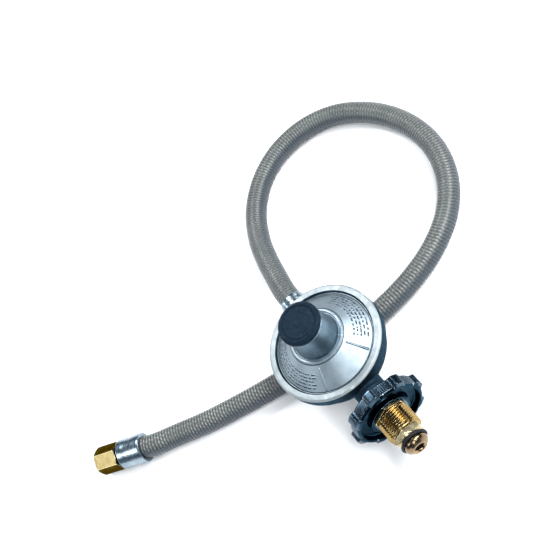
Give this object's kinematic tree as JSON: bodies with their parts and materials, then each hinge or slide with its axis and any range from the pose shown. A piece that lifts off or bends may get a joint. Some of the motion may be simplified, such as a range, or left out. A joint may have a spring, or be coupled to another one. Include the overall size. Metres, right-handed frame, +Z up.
{
  "type": "propane regulator hose",
  "caption": "Low-pressure gas regulator with a handwheel inlet fitting, a capped spring tower and a ribbed hose ending in a swivel flare nut",
  "frame": {"origin": "on the floor plane under the centre of the regulator's bounding box, hose left out", "axes": "+X out of the inlet fitting, +Z up through the spring tower, +Y to the left when looking along +X"},
  "size_m": [0.2646, 0.3318, 0.0787],
  "materials": {
    "casting": "blue-grey die casting, satin, slightly grainy",
    "handwheel_metal": "dark blue-grey, glossy plated die casting",
    "bright_ferrule": "bright zinc-plated, polished",
    "brass": "machined, lightly oxidised",
    "plated_steel": "zinc-plated pressed steel",
    "spring_steel": "spring wire, satin",
    "black_plastic": "black moulded plastic, satin",
    "seal_rubber": "black rubber",
    "hose_cover": "grey hose cover with fine cross ribs"
  },
  "bodies": {
    "regulator": {"regulator_body": "casting", "bonnet": "casting", "main_spring": "spring_steel", "diaphragm": "seal_rubber", "lever_pin": "plated_steel", "orifice": "brass", "pol_nipple": "brass", "nose_o_ring": "seal_rubber", "outlet_stem": "brass", "outlet_ferrule": "bright_ferrule", "hose": "hose_cover", "end_ferrule": "bright_ferrule", "end_stem": "brass"},
    "inlet_nut": {"pol_nut": "brass", "handwheel": "handwheel_metal"},
    "end_nut": {"flare_nut": "brass"},
    "cap_seal": {"cap_gasket": "seal_rubber"},
    "cap": {"vent_cap": "black_plastic"},
    "seat": {"spring_seat": "plated_steel"},
    "adjuster": {"adjusting_screw": "brass"},
    "post": {"diaphragm_post": "brass", "relief_spring": "spring_steel", "relief_retainer": "plated_steel"},
    "plate": {"diaphragm_plate": "plated_steel"},
    "lever": {"lever": "plated_steel"},
    "valve": {"valve_stem": "brass", "valve_seat": "seal_rubber"}
  },
  "joints": [
    {"name": "handwheel_spin", "type": "hinge", "parent": "regulator", "child": "inlet_nut", "pos_m": [0.03665, 0, 0.0265], "axis": [1, 0, 0], "continuous": true},
    {"name": "flare_nut_spin", "type": "hinge", "parent": "regulator", "child": "end_nut", "pos_m": [-0.0967, -0.17189, 0.0105], "axis": [-0.4848, -0.8746, 0], "continuous": true},
    {"name": "cap_lift", "type": "slide", "parent": "regulator", "child": "cap_seal", "axis": [0, 0, 1], "range_m": [0, 0.006]},
    {"name": "cap_turn", "type": "hinge", "parent": "cap_seal", "child": "cap", "pos_m": [-0.01935, 0, 0.0752], "axis": [0, 0, 1], "range_deg": [0, 1440.1]},
    {"name": "adjuster_travel", "type": "slide", "parent": "regulator", "child": "seat", "axis": [0, 0, 1], "range_m": [-0.003, 0.002], "deforming": ["main_spring"]},
    {"name": "adjuster_turn", "type": "hinge", "parent": "seat", "child": "adjuster", "pos_m": [-0.01935, 0, 0.06], "axis": [0, 0, 1], "range_deg": [-720.1, 480.1]},
    {"name": "diaphragm_stroke", "type": "slide", "parent": "regulator", "child": "post", "axis": [0, 0, 1], "range_m": [0, 0.003], "deforming": ["main_spring", "diaphragm"]},
    {"name": "relief_lift", "type": "slide", "parent": "post", "child": "plate", "axis": [0, 0, 1], "range_m": [0, 0.001], "deforming": ["relief_spring"]},
    {"name": "lever_pivot", "type": "hinge", "parent": "regulator", "child": "lever", "pos_m": [-0.00785, 0, 0.0215], "axis": [0, 1, 0], "range_deg": [0, 14.91]},
    {"name": "valve_slide", "type": "slide", "parent": "regulator", "child": "valve", "axis": [1, 0, 0], "range_m": [0, 0.0013]}
  ],
  "couplings": [
    {"joint": "cap_turn", "follows": "cap_lift", "rad_per_m": 4188.8},
    {"joint": "adjuster_turn", "follows": "adjuster_travel", "rad_per_m": 4188.8},
    {"joint": "lever_pivot", "follows": "diaphragm_stroke", "rad_per_m": 86.468},
    {"joint": "valve_slide", "follows": "diaphragm_stroke", "ratio": 0.43113}
  ]
}
